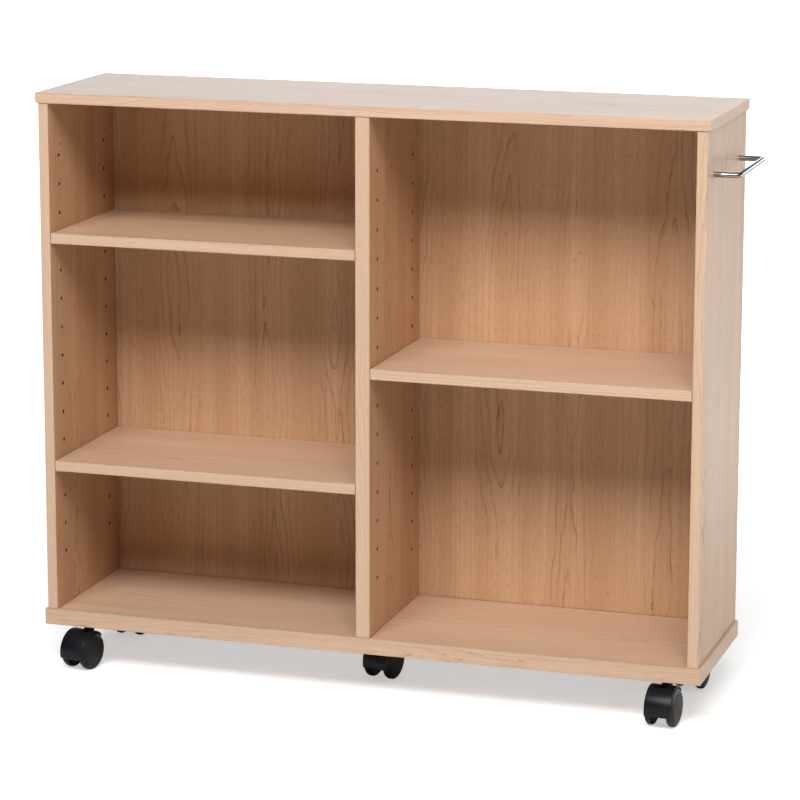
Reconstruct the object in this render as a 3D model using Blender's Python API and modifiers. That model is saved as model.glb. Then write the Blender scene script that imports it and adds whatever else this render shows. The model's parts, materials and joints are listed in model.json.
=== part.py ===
"""Rolling storage unit: an open-fronted cabinet of laminated boards with two bays side by side.

The left bay has two adjustable shelves and the right bay has one. They rest on pins in rows of
holes. A bent steel handle is screwed to the right side panel, and the unit stands on five
twin-wheel swivel casters, one near each corner and one under the middle.

Metres, +Z up. The open front faces -Y. The floor is at Z = 0, and the origin is the floor point
under the middle of the whole unit's box, with the handle and the front casters counted in.
"""

import math

import bmesh
import bpy
from mathutils import Matrix, Vector

# Cabinet: outer sizes, from the underside of the bottom panel up.
BODY_WIDTH = 1.170
BODY_DEPTH = 0.303
BODY_HEIGHT = 0.936
TOP_THICK = 0.018
BOTTOM_THICK = 0.028
SIDE_THICK = 0.018
DIVIDER_THICK = 0.025
BACK_THICK = 0.015
SHELF_THICK = 0.018
END_OVERHANG = 0.005  # the top and bottom panels past each side panel
FRONT_SETBACK = 0.0015  # the side panels, divider and shelves behind the top's front edge
BACK_RECESS = 0.005  # the back panel in front of the side panels' rear edges
SHELF_END_GAP = 0.00075
SHELF_BACK_GAP = 0.002
JOINT_GAP = 0.0003  # between boards, or other pieces, that touch
EDGE_ROUND = 0.0008

# Shelf pins and their two columns of holes on each upright's inner face.
PIN_RADIUS = 0.0025
PIN_CLEARANCE = 0.0001
PIN_HOLE_DEPTH = 0.009
PIN_IN_HOLE = 0.008
PIN_OUT_OF_HOLE = 0.009
PIN_CHAMFER = 0.0004
PIN_PITCH = 0.050
FIRST_PIN_ROW = 0.124  # above the underside of the bottom panel
LAST_ROW_MARGIN = 0.110  # least height left between the last row and the top face
PIN_COLUMN_INSET = 0.0435  # from the front edge, and from the back panel

# Pull handle on the right side panel.
ROD_RADIUS = 0.0045
HANDLE_CENTRES = 0.196
HANDLE_BELOW_TOP = 0.094
HANDLE_REACH = 0.041  # from the panel to the rod's centre line
HANDLE_BEND = 0.008  # radius of the centre line at each corner
HANDLE_TAP_RADIUS = 0.0021
HANDLE_TAP_DEPTH = 0.012
HANDLE_SCREW_RADIUS = 0.0020
HANDLE_SCREW_BITE = 0.010
HANDLE_HEAD_RADIUS = 0.0042
HANDLE_HEAD_HEIGHT = 0.0024
HANDLE_HOLE_CLEARANCE = 0.0003

# Screws that hold the bottom panel to the uprights, two for each.
FRAME_SCREW_RADIUS = 0.0035
FRAME_SCREW_BITE = 0.022
FRAME_HEAD_RADIUS = 0.005
FRAME_HEAD_HEIGHT = 0.0022
FRAME_HEAD_SINK = 0.0006
FRAME_SCREW_CLEARANCE = 0.0001
FRAME_SCREW_INSET = 0.055  # from the front edge, and from the back panel

# Casters.
CASTER_HEIGHT = 0.080  # floor to the underside of the bottom panel
CASTER_END_INSET = 0.0645  # swivel axis from the bottom panel's end
CASTER_EDGE_INSET = 0.042  # swivel axis from the bottom panel's front or rear edge
CASTER_TRAIL = 0.020  # axle from the swivel axis
WHEEL_RADIUS = 0.0325
WHEEL_INNER_FACE = 0.0132  # from the caster's middle plane
WHEEL_RIM = 0.024
WHEEL_DOME = 0.0275
WHEEL_EDGE_ROUND = 0.0034
WHEEL_DISC_RADIUS = 0.0265  # where the domed disc meets its bevelled border
WHEEL_DISC_DROP = 0.0016
AXLE_RADIUS = 0.003
AXLE_HALF = 0.022
AXLE_CLEARANCE = 0.0001
AXLE_END_GAP = 0.001
HOOD_CLEARANCE = 0.0014
HOOD_WALL = 0.0024
HOOD_HALF_WIDTH = 0.023
HOOD_WEB_HALF = 0.0122
HOOD_EDGE_ROUND = 0.0012
HOOD_FRONT_ANGLE = -16  # degrees above the level line through the axle, at the front
HOOD_REAR_ANGLE = 136  # the same, going over the top to the rear
HOOD_ANGLE_STEP = 8
WEB_FOOT_HALF = 0.0093  # the web's lowest edge under the axle
WEB_FOOT_DROP = 0.014
HOUSING_DROP = 0.008  # the stem housing's underside below the axle
HOUSING_FLOOR = 0.007
NECK_RADIUS = 0.0092
STEM_RADIUS = 0.004
STEM_CLEARANCE = 0.0001
STEM_FLANGE_RADIUS = 0.007
STEM_FLANGE_THICK = 0.0027
STEM_BITE = 0.016
INSERT_RADIUS = 0.006
INSERT_LENGTH = 0.018
INSERT_CLEARANCE = 0.0001

# How far each caster has turned about its swivel axis, in degrees.
CASTER_TURN = {
    "front_left": -13.0,
    "front_right": -5.0,
    "middle": -11.0,
    "rear_left": -2.0,
    "rear_right": -6.0,
}

# How finely round pieces are divided.
WHEEL_SIDES = 24
BORE_SIDES = 16
HOLE_SIDES = 8
BEND_STEPS = 6
ROD_BEVEL_RESOLUTION = 6

# Places worked out from the sizes above, in the cabinet's own frame: X and Y from its middle.
HALF_WIDTH = BODY_WIDTH / 2
HALF_DEPTH = BODY_DEPTH / 2
FLOOR_OF_BODY = CASTER_HEIGHT
DECK = FLOOR_OF_BODY + BOTTOM_THICK
CEILING = FLOOR_OF_BODY + BODY_HEIGHT - TOP_THICK
SIDE_OUTER = HALF_WIDTH - END_OVERHANG
SIDE_INNER = SIDE_OUTER - SIDE_THICK
DIVIDER_HALF = DIVIDER_THICK / 2
FRONT_EDGE = -HALF_DEPTH + FRONT_SETBACK
BACK_FACE = HALF_DEPTH - BACK_RECESS - BACK_THICK
PIN_COLUMNS = (-HALF_DEPTH + PIN_COLUMN_INSET, BACK_FACE - PIN_COLUMN_INSET)
PIN_ROWS = int((BODY_HEIGHT - FIRST_PIN_ROW - LAST_ROW_MARGIN) / PIN_PITCH) + 1
HANDLE_Z = FLOOR_OF_BODY + BODY_HEIGHT - HANDLE_BELOW_TOP
HANDLE_COLUMNS = (-HANDLE_CENTRES / 2, HANDLE_CENTRES / 2)
FRAME_SCREW_COLUMNS = (-HALF_DEPTH + FRAME_SCREW_INSET, BACK_FACE - FRAME_SCREW_INSET)
UPRIGHTS = {"left": -(SIDE_INNER + SIDE_THICK / 2), "middle": 0.0, "right": SIDE_INNER + SIDE_THICK / 2}
CASTER_X = HALF_WIDTH - CASTER_END_INSET
CASTER_Y = HALF_DEPTH - CASTER_EDGE_INSET
CASTER_PLACES = {
    "front_left": (-CASTER_X, -CASTER_Y),
    "front_right": (CASTER_X, -CASTER_Y),
    "middle": (0.0, 0.0),
    "rear_left": (-CASTER_X, CASTER_Y),
    "rear_right": (CASTER_X, CASTER_Y),
}
HOOD_RADIUS = WHEEL_RADIUS + HOOD_CLEARANCE + HOOD_WALL
FLANGE_TOP = CASTER_HEIGHT - JOINT_GAP
NECK_TOP = FLANGE_TOP - STEM_FLANGE_THICK - JOINT_GAP
HOUSING_BOTTOM = WHEEL_RADIUS - HOUSING_DROP
STEM_BOTTOM = HOUSING_BOTTOM + HOUSING_FLOOR
SHELVES = {
    "shelf_upper_left": ("left", PIN_ROWS - 1 - PIN_ROWS // 4),
    "shelf_lower_left": ("left", PIN_ROWS // 4),
    "shelf_right": ("right", PIN_ROWS // 2),
}


def nose(turn):
    """How far a front caster turned by this many degrees sticks out past the cabinet's front."""
    turn = math.radians(turn)
    forward = (CASTER_TRAIL + HOOD_RADIUS) * math.cos(turn) + HOOD_HALF_WIDTH * abs(math.sin(turn))
    return forward - CASTER_EDGE_INSET


HANDLE_OUTREACH = SIDE_OUTER + HANDLE_REACH + ROD_RADIUS - HALF_WIDTH
CASTER_OUTREACH = max(nose(CASTER_TURN["front_left"]), nose(CASTER_TURN["front_right"]))
BODY_X = -HANDLE_OUTREACH / 2
BODY_Y = CASTER_OUTREACH / 2


def new_collection(name):
    made = bpy.data.collections.new(name)
    bpy.context.scene.collection.children.link(made)
    return made


def new_material(name, colour, roughness, metallic=0.0):
    made = bpy.data.materials.new(name)
    made.use_nodes = True
    made.diffuse_color = (*colour, 1.0)
    surface = made.node_tree.nodes["Principled BSDF"]
    surface.inputs["Base Color"].default_value = (*colour, 1.0)
    surface.inputs["Roughness"].default_value = roughness
    surface.inputs["Metallic"].default_value = metallic
    return made


def new_empty(name, location, parent=None, turn=0.0):
    empty = bpy.data.objects.new(name, None)
    empty.empty_display_size = 0.02
    empty.location = location
    empty.rotation_euler.z = turn
    empty.parent = parent
    PARTS.objects.link(empty)
    return empty


def add_part(name, mesh, material, location, parent, turn=0.0):
    """Puts one named piece in the scene. It gets its own copy of the material, under its own name."""
    own = material.copy()
    own.name = name
    part = bpy.data.objects.new(name, mesh)
    part.location = location
    part.rotation_euler.z = turn
    part.parent = parent
    PARTS.objects.link(part)
    mesh.materials.clear()
    mesh.materials.append(own)
    return part


def box_mesh(name, size):
    mesh = bpy.data.meshes.new(name)
    shape = bmesh.new()
    bmesh.ops.create_cube(shape, size=1.0)
    bmesh.ops.scale(shape, vec=Vector(size), verts=shape.verts)
    shape.to_mesh(mesh)
    shape.free()
    return mesh


def rods_mesh(name, rods, sides):
    """Closed cylinders in one mesh, for a cutter. A rod is (middle, axis, radius, length)."""
    mesh = bpy.data.meshes.new(name)
    shape = bmesh.new()
    for middle, axis, radius, length in rods:
        turn = Vector((0, 0, 1)).rotation_difference(Vector(axis)).to_matrix().to_4x4()
        place = Matrix.Translation(middle) @ turn
        bmesh.ops.create_cone(
            shape, cap_ends=True, segments=sides, radius1=radius, radius2=radius, depth=length, matrix=place
        )
    shape.to_mesh(mesh)
    shape.free()
    return mesh


def add_helper(name, mesh, parent=None):
    helper = bpy.data.objects.new(name, mesh)
    helper.parent = parent
    helper.hide_render = True
    helper.display_type = "WIRE"
    CUTTERS.objects.link(helper)
    return helper


def combine(target, other, operation):
    step = target.modifiers.new(other.name, "BOOLEAN")
    step.operation = operation
    step.solver = "EXACT"
    step.object = other


def round_edges(target, width, segments=2, angle=40):
    step = target.modifiers.new("rounded edges", "BEVEL")
    step.width = width
    step.segments = segments
    step.limit_method = "ANGLE"
    step.angle_limit = math.radians(angle)


def evaluated_mesh(helper, name):
    """The mesh that an object's modifiers or curve make, with any loose caps welded on."""
    bpy.context.view_layer.update()
    graph = bpy.context.evaluated_depsgraph_get()
    mesh = bpy.data.meshes.new_from_object(helper.evaluated_get(graph))
    mesh.name = name
    shape = bmesh.new()
    shape.from_mesh(mesh)
    bmesh.ops.remove_doubles(shape, verts=shape.verts, dist=1e-6)
    shape.to_mesh(mesh)
    shape.free()
    return mesh


def shade_round(mesh, angle=50):
    mesh.shade_smooth()
    mesh.set_sharp_from_angle(angle=math.radians(angle))


def turned_mesh(name, profile, sides, along="Z"):
    """A turned piece. The profile is (radius, height) points down its outer side, top to bottom."""
    outline = bpy.data.meshes.new(name + "_profile")
    points = [(radius, 0, height) for radius, height in profile]
    outline.from_pydata(points, [(i, i + 1) for i in range(len(points) - 1)], [])
    helper = add_helper(name + "_profile", outline)
    spin = helper.modifiers.new("turn", "SCREW")
    spin.axis = "Z"
    spin.steps = sides
    spin.render_steps = sides
    spin.use_merge_vertices = True
    spin.merge_threshold = 1e-6
    mesh = evaluated_mesh(helper, name)
    if along == "X":
        mesh.transform(Matrix.Rotation(math.radians(90), 4, "Y"))
    bpy.data.objects.remove(helper)
    shade_round(mesh)
    return mesh


def add_board(name, low, high):
    """A board between two opposite corners, with its origin in its middle."""
    low = Vector(low)
    high = Vector(high)
    board = add_part(name, box_mesh(name, high - low), MAPLE, (low + high) / 2, UNIT)
    round_edges(board, EDGE_ROUND)
    return board


def drill(board, rods, sides=HOLE_SIDES):
    """Cuts round holes, given in the cabinet's frame, from a board."""
    cutter = add_helper(board.name + "_holes", rods_mesh(board.name + "_holes", rods, sides), UNIT)
    combine(board, cutter, "DIFFERENCE")


def pin_holes(face_x):
    """The two columns of blind holes on an upright's face at this X."""
    radius = PIN_RADIUS + PIN_CLEARANCE
    rods = []
    for column in PIN_COLUMNS:
        for row in range(PIN_ROWS):
            middle = (face_x, column, row_height(row))
            rods.append((middle, (1, 0, 0), radius, 2 * PIN_HOLE_DEPTH))
    return rods


def row_height(row):
    return FLOOR_OF_BODY + FIRST_PIN_ROW + row * PIN_PITCH


def handle_holes(panel_x):
    radius = HANDLE_SCREW_RADIUS + HANDLE_HOLE_CLEARANCE
    return [((panel_x, y, HANDLE_Z), (1, 0, 0), radius, 2 * SIDE_THICK) for y in HANDLE_COLUMNS]


def frame_screw_holes(upright_x, start_z, length):
    radius = FRAME_SCREW_RADIUS + FRAME_SCREW_CLEARANCE
    return [((upright_x, y, start_z), (0, 0, 1), radius, length) for y in FRAME_SCREW_COLUMNS]


def make_cabinet():
    add_board(
        "top_panel",
        (-HALF_WIDTH, -HALF_DEPTH, CEILING),
        (HALF_WIDTH, HALF_DEPTH, CEILING + TOP_THICK),
    )
    bottom = add_board(
        "bottom_panel",
        (-HALF_WIDTH, -HALF_DEPTH, FLOOR_OF_BODY),
        (HALF_WIDTH, HALF_DEPTH, DECK),
    )
    bottom_holes = []
    head_seats = []
    for upright_x in UPRIGHTS.values():
        bottom_holes += frame_screw_holes(upright_x, FLOOR_OF_BODY + BOTTOM_THICK / 2, 2 * BOTTOM_THICK)
        for y in FRAME_SCREW_COLUMNS:
            depth = FRAME_HEAD_SINK + FRAME_HEAD_HEIGHT + JOINT_GAP
            radius = FRAME_HEAD_RADIUS + JOINT_GAP
            head_seats.append(((upright_x, y, FLOOR_OF_BODY), (0, 0, 1), radius, 2 * depth))
    drill(bottom, bottom_holes)
    seats = add_helper("screw_head_seats", rods_mesh("screw_head_seats", head_seats, HOLE_SIDES), UNIT)
    combine(bottom, seats, "DIFFERENCE")
    sockets = []
    for x, y in CASTER_PLACES.values():
        radius = INSERT_RADIUS + INSERT_CLEARANCE
        sockets.append(((x, y, FLOOR_OF_BODY), (0, 0, 1), radius, 2 * (INSERT_LENGTH + 2 * JOINT_GAP)))
    socket_cutter = add_helper("insert_sockets", rods_mesh("insert_sockets", sockets, BORE_SIDES), UNIT)
    combine(bottom, socket_cutter, "DIFFERENCE")

    low = DECK + JOINT_GAP
    high = CEILING - JOINT_GAP
    screw_hole = 2 * (FRAME_SCREW_BITE + JOINT_GAP)
    for side, sign in (("left", -1), ("right", 1)):
        near, far = sorted((sign * SIDE_INNER, sign * SIDE_OUTER))
        panel = add_board("side_panel_" + side, (near, FRONT_EDGE, low), (far, HALF_DEPTH, high))
        holes = pin_holes(sign * SIDE_INNER) + handle_holes(UPRIGHTS[side])
        drill(panel, holes + frame_screw_holes(UPRIGHTS[side], low, screw_hole))
    divider = add_board(
        "divider_panel",
        (-DIVIDER_HALF, FRONT_EDGE, low),
        (DIVIDER_HALF, BACK_FACE - JOINT_GAP, high),
    )
    holes = pin_holes(-DIVIDER_HALF) + pin_holes(DIVIDER_HALF)
    drill(divider, holes + frame_screw_holes(0.0, low, screw_hole))
    add_board(
        "back_panel",
        (-SIDE_INNER + JOINT_GAP, BACK_FACE, low),
        (SIDE_INNER - JOINT_GAP, BACK_FACE + BACK_THICK, high),
    )


def bay_sides(side):
    """The faces that bound a bay, from left to right."""
    if side == "left":
        return -SIDE_INNER, -DIVIDER_HALF
    return DIVIDER_HALF, SIDE_INNER


def make_shelves():
    pin = turned_mesh(
        "shelf_pin",
        [
            (0, PIN_OUT_OF_HOLE),
            (PIN_RADIUS - PIN_CHAMFER, PIN_OUT_OF_HOLE),
            (PIN_RADIUS, PIN_OUT_OF_HOLE - PIN_CHAMFER),
            (PIN_RADIUS, -PIN_IN_HOLE + PIN_CHAMFER),
            (PIN_RADIUS - PIN_CHAMFER, -PIN_IN_HOLE),
            (0, -PIN_IN_HOLE),
        ],
        HOLE_SIDES,
        along="X",
    )
    for name, (side, row) in SHELVES.items():
        left, right = bay_sides(side)
        underside = row_height(row) + PIN_RADIUS + JOINT_GAP
        add_board(
            name,
            (left + SHELF_END_GAP, FRONT_EDGE, underside),
            (right - SHELF_END_GAP, BACK_FACE - SHELF_BACK_GAP, underside + SHELF_THICK),
        )
        corner = 0
        for face_x, turn in ((left, 0.0), (right, math.pi)):
            for y in PIN_COLUMNS:
                corner += 1
                place = (face_x, y, row_height(row))
                add_part(f"{name}_pin_{corner}", pin.copy(), STEEL, place, UNIT, turn)


def handle_route():
    """The rod's centre line: out from the panel, along it, and back, with round corners."""
    start_x = SIDE_OUTER + JOINT_GAP
    end_x = SIDE_OUTER + HANDLE_REACH
    front, rear = HANDLE_COLUMNS
    route = [(start_x, front)]
    for step in range(BEND_STEPS + 1):
        angle = math.pi / 2 * step / BEND_STEPS
        x = end_x - HANDLE_BEND * (1 - math.sin(angle))
        y = front + HANDLE_BEND * (1 - math.cos(angle))
        route.append((x, y))
    for step in range(BEND_STEPS + 1):
        angle = math.pi / 2 * step / BEND_STEPS
        x = end_x - HANDLE_BEND * (1 - math.cos(angle))
        y = rear - HANDLE_BEND * (1 - math.sin(angle))
        route.append((x, y))
    route.append((start_x, rear))
    return route


def make_handle():
    curve = bpy.data.curves.new("handle_route", "CURVE")
    curve.dimensions = "3D"
    curve.bevel_depth = ROD_RADIUS
    curve.bevel_resolution = ROD_BEVEL_RESOLUTION
    curve.use_fill_caps = True
    line = curve.splines.new("POLY")
    route = handle_route()
    line.points.add(len(route) - 1)
    for point, (x, y) in zip(line.points, route):
        point.co = (x, y, HANDLE_Z, 1)
    guide = add_helper("handle_route", curve)
    mesh = evaluated_mesh(guide, "handle_bar")
    mesh.transform(guide.matrix_world)
    bpy.data.objects.remove(guide)
    shade_round(mesh)
    foot = Vector((SIDE_OUTER, 0, HANDLE_Z))
    mesh.transform(Matrix.Translation(-foot))
    handle = add_part("handle_bar", mesh, STEEL, foot, UNIT)
    taps = []
    for y in HANDLE_COLUMNS:
        taps.append(((SIDE_OUTER, y, HANDLE_Z), (1, 0, 0), HANDLE_TAP_RADIUS, 2 * HANDLE_TAP_DEPTH))
    drill(handle, taps)

    shank = JOINT_GAP + SIDE_THICK + JOINT_GAP + HANDLE_SCREW_BITE
    screw = turned_mesh(
        "handle_screw",
        [
            (0, shank),
            (HANDLE_SCREW_RADIUS, shank),
            (HANDLE_SCREW_RADIUS, 0),
            (HANDLE_HEAD_RADIUS, 0),
            (HANDLE_HEAD_RADIUS, -0.5 * HANDLE_HEAD_HEIGHT),
            (0.7 * HANDLE_HEAD_RADIUS, -HANDLE_HEAD_HEIGHT),
            (0, -HANDLE_HEAD_HEIGHT),
        ],
        HOLE_SIDES,
        along="X",
    )
    for end, y in zip(("front", "rear"), HANDLE_COLUMNS):
        place = (SIDE_INNER - JOINT_GAP, y, HANDLE_Z)
        add_part("handle_screw_" + end, screw.copy(), STEEL, place, UNIT)


def make_frame_screws():
    """The origin is the middle of the head's outer face, with the shank pointing up."""
    tip = BOTTOM_THICK - FRAME_HEAD_SINK + JOINT_GAP + FRAME_SCREW_BITE
    screw = turned_mesh(
        "frame_screw",
        [
            (0, tip),
            (0.5 * FRAME_SCREW_RADIUS, tip),
            (FRAME_SCREW_RADIUS, tip - FRAME_SCREW_RADIUS),
            (FRAME_SCREW_RADIUS, FRAME_HEAD_HEIGHT),
            (FRAME_HEAD_RADIUS, FRAME_HEAD_HEIGHT),
            (FRAME_HEAD_RADIUS, 0),
            (0, 0),
        ],
        HOLE_SIDES,
    )
    for upright, x in UPRIGHTS.items():
        for end, y in zip(("front", "rear"), FRAME_SCREW_COLUMNS):
            place = (x, y, FLOOR_OF_BODY + FRAME_HEAD_SINK)
            add_part(f"frame_screw_{upright}_{end}", screw.copy(), STEEL, place, UNIT)


def wheel_mesh():
    """One wheel, turned about X: a dome facing +X, and a blind bore for the axle in its inner face."""
    bore = AXLE_RADIUS + AXLE_CLEARANCE
    bore_end = AXLE_HALF + AXLE_END_GAP
    corner = WHEEL_EDGE_ROUND * (1 - math.cos(math.pi / 4))
    return turned_mesh(
        "caster_wheel",
        [
            (0, WHEEL_DOME),
            (WHEEL_DISC_RADIUS * 0.6, WHEEL_DOME - WHEEL_DISC_DROP * 0.36),
            (WHEEL_DISC_RADIUS, WHEEL_DOME - WHEEL_DISC_DROP),
            (WHEEL_RADIUS - WHEEL_EDGE_ROUND, WHEEL_RIM),
            (WHEEL_RADIUS - corner, WHEEL_RIM - corner),
            (WHEEL_RADIUS, WHEEL_RIM - WHEEL_EDGE_ROUND),
            (WHEEL_RADIUS, WHEEL_INNER_FACE + WHEEL_EDGE_ROUND),
            (WHEEL_RADIUS - corner, WHEEL_INNER_FACE + corner),
            (WHEEL_RADIUS - WHEEL_EDGE_ROUND, WHEEL_INNER_FACE),
            (bore, WHEEL_INNER_FACE),
            (bore, bore_end),
            (0, bore_end),
        ],
        WHEEL_SIDES,
        along="X",
    )


def hood_outline():
    """The hood and its web seen along the axle, as (back, up) from the axle."""
    outline = []
    for angle in range(HOOD_FRONT_ANGLE, HOOD_REAR_ANGLE + 1, HOOD_ANGLE_STEP):
        angle = math.radians(angle)
        outline.append((-HOOD_RADIUS * math.cos(angle), HOOD_RADIUS * math.sin(angle)))
    rear = outline[-1][0]
    bottom = HOUSING_BOTTOM - WHEEL_RADIUS
    outline.append((rear, bottom))
    outline.append((WEB_FOOT_HALF, -WEB_FOOT_DROP))
    outline.append((-WEB_FOOT_HALF, -WEB_FOOT_DROP))
    return outline


def hood_mesh():
    """The hood over both wheels, its web between them and the housing of the stem, as one moulding.

    Its origin is on the swivel axis at floor level, X runs along the axle and -Y is the nose.
    """
    curve = bpy.data.curves.new("hood_outline", "CURVE")
    curve.dimensions = "2D"
    curve.fill_mode = "BOTH"
    curve.extrude = HOOD_HALF_WIDTH
    edge = curve.splines.new("POLY")
    outline = hood_outline()
    edge.points.add(len(outline) - 1)
    for point, (back, up) in zip(edge.points, outline):
        point.co = (back, up, 0, 1)
    edge.use_cyclic_u = True
    guide = add_helper("hood_outline", curve)
    mesh = evaluated_mesh(guide, "hood_block")
    bpy.data.objects.remove(guide)
    axle_middle = Matrix.Translation((0, -CASTER_TRAIL, WHEEL_RADIUS))
    outline_plane = Matrix(((0, 0, 1, 0), (1, 0, 0, 0), (0, 1, 0, 0), (0, 0, 0, 1)))
    mesh.transform(axle_middle @ outline_plane)

    block = add_helper("hood_block", mesh)
    round_edges(block, HOOD_EDGE_ROUND)
    neck_length = NECK_TOP - HOUSING_BOTTOM
    neck_middle = (0, 0, HOUSING_BOTTOM + neck_length / 2)
    neck = add_helper(
        "hood_neck", rods_mesh("hood_neck", [(neck_middle, (0, 0, 1), NECK_RADIUS, neck_length)], BORE_SIDES)
    )
    room_radius = WHEEL_RADIUS + HOOD_CLEARANCE
    room_length = 2 * HOOD_HALF_WIDTH
    rooms = []
    for sign in (-1, 1):
        middle = (sign * (HOOD_WEB_HALF + room_length / 2), -CASTER_TRAIL, WHEEL_RADIUS)
        rooms.append((middle, (1, 0, 0), room_radius, room_length))
    wheel_rooms = add_helper("hood_wheel_rooms", rods_mesh("hood_wheel_rooms", rooms, WHEEL_SIDES))
    axle_hole = ((0, -CASTER_TRAIL, WHEEL_RADIUS), (1, 0, 0), AXLE_RADIUS + AXLE_CLEARANCE, 2 * HOOD_HALF_WIDTH)
    bore_length = CASTER_HEIGHT - STEM_BOTTOM + JOINT_GAP
    bore_middle = (0, 0, STEM_BOTTOM - JOINT_GAP + bore_length / 2)
    stem_hole = (bore_middle, (0, 0, 1), STEM_RADIUS + STEM_CLEARANCE, bore_length)
    bores = add_helper("hood_bores", rods_mesh("hood_bores", [axle_hole, stem_hole], BORE_SIDES))
    combine(block, neck, "UNION")
    combine(block, wheel_rooms, "DIFFERENCE")
    combine(block, bores, "DIFFERENCE")
    made = evaluated_mesh(block, "caster_hood")
    for helper in (block, neck, wheel_rooms, bores):
        bpy.data.objects.remove(helper)
    shade_round(made)
    return made


def make_casters():
    hood = hood_mesh()
    wheel = wheel_mesh()
    axle = turned_mesh(
        "caster_axle",
        [(0, AXLE_HALF), (AXLE_RADIUS, AXLE_HALF), (AXLE_RADIUS, -AXLE_HALF), (0, -AXLE_HALF)],
        BORE_SIDES,
        along="X",
    )
    stem_top = CASTER_HEIGHT + STEM_BITE
    flange_bottom = FLANGE_TOP - STEM_FLANGE_THICK
    stem = turned_mesh(
        "caster_stem",
        [
            (0, stem_top),
            (STEM_RADIUS, stem_top),
            (STEM_RADIUS, FLANGE_TOP),
            (STEM_FLANGE_RADIUS, FLANGE_TOP),
            (STEM_FLANGE_RADIUS, flange_bottom),
            (STEM_RADIUS, flange_bottom),
            (STEM_RADIUS, STEM_BOTTOM),
            (0, STEM_BOTTOM),
        ],
        BORE_SIDES,
    )
    insert_bore = STEM_RADIUS + STEM_CLEARANCE
    insert = turned_mesh(
        "caster_insert",
        [
            (insert_bore, INSERT_LENGTH),
            (INSERT_RADIUS, INSERT_LENGTH),
            (INSERT_RADIUS, 0),
            (insert_bore, 0),
            (insert_bore, INSERT_LENGTH),
        ],
        BORE_SIDES,
    )
    for place, (x, y) in CASTER_PLACES.items():
        name = "caster_" + place
        swivel = new_empty(name, (x, y, 0), UNIT, math.radians(CASTER_TURN[place]))
        add_part(name + "_insert", insert.copy(), BRASS, (x, y, FLOOR_OF_BODY + JOINT_GAP), UNIT)
        add_part(name + "_stem", stem.copy(), STEEL, (x, y, 0), UNIT)
        add_part(name + "_hood", hood.copy(), BLACK_PLASTIC, (0, 0, 0), swivel)
        axle_place = (0, -CASTER_TRAIL, WHEEL_RADIUS)
        add_part(name + "_axle", axle.copy(), STEEL, axle_place, swivel)
        add_part(name + "_wheel_left", wheel.copy(), BLACK_PLASTIC, axle_place, swivel, math.pi)
        add_part(name + "_wheel_right", wheel.copy(), BLACK_PLASTIC, axle_place, swivel)


for old in list(bpy.data.objects):
    bpy.data.objects.remove(old, do_unlink=True)

PARTS = new_collection("rolling_storage_unit")
CUTTERS = new_collection("cutters")
MAPLE = new_material("maple_laminate", (0.62, 0.42, 0.25), 0.45)
STEEL = new_material("polished_steel", (0.62, 0.62, 0.61), 0.2, 1.0)
BRASS = new_material("brass", (0.6, 0.43, 0.2), 0.35, 1.0)
BLACK_PLASTIC = new_material("black_plastic", (0.018, 0.019, 0.022), 0.4)
UNIT = new_empty("storage_unit", (BODY_X, BODY_Y, 0))

make_cabinet()
make_shelves()
make_handle()
make_frame_screws()
make_casters()
bpy.context.view_layer.update()
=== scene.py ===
# %% [markdown]
# # A rolling storage unit
# The unit is a low cabinet of maple-pattern laminated boards with two open bays, shelves on
# steel pins, a bent steel pull handle and five black twin-wheel casters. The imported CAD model
# is loaded first and stays exactly where it is. The cells after it give every board its
# finish, and put finer turned and moulded pieces over the casters, the handle and the small
# hardware.

# %% Load the CAD model
import math

import bmesh
import bpy
from mathutils import Matrix, Vector
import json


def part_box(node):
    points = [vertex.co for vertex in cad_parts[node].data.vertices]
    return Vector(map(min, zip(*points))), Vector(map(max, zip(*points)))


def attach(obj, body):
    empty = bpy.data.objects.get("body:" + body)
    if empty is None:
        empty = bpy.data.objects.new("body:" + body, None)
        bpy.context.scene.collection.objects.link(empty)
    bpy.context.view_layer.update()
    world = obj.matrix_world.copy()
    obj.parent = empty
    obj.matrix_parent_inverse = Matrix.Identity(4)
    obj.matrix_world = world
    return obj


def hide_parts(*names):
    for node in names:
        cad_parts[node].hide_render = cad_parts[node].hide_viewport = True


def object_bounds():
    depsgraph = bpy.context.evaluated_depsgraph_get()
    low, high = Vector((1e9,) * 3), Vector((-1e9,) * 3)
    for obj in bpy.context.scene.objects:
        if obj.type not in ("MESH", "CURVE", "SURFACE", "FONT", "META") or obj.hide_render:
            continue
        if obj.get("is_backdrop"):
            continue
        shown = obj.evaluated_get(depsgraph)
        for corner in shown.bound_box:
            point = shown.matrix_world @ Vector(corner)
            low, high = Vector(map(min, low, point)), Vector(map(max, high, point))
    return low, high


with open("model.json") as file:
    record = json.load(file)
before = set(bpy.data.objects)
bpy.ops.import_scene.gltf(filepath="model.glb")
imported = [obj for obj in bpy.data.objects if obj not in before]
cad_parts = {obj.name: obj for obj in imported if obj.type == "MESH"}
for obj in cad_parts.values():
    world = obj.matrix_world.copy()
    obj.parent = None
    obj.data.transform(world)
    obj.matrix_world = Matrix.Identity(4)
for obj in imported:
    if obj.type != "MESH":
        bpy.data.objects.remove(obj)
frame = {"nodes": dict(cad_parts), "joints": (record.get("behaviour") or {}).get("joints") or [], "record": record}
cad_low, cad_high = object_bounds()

print("CAD box", [round(v, 4) for v in (*cad_low, *cad_high)])

# %% [markdown]
# ## Where the joints are
# Each caster turns about an upright stem, and its two wheels turn about one axle. The record
# that comes with the CAD model holds both axes, so the finer pieces are placed from the same
# numbers instead of being placed by eye.

# %% Read the axes of the casters
joints = {joint["name"]: joint for joint in frame["joints"]}
CASTERS = ["front_left", "front_right", "middle", "rear_left", "rear_right"]


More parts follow.
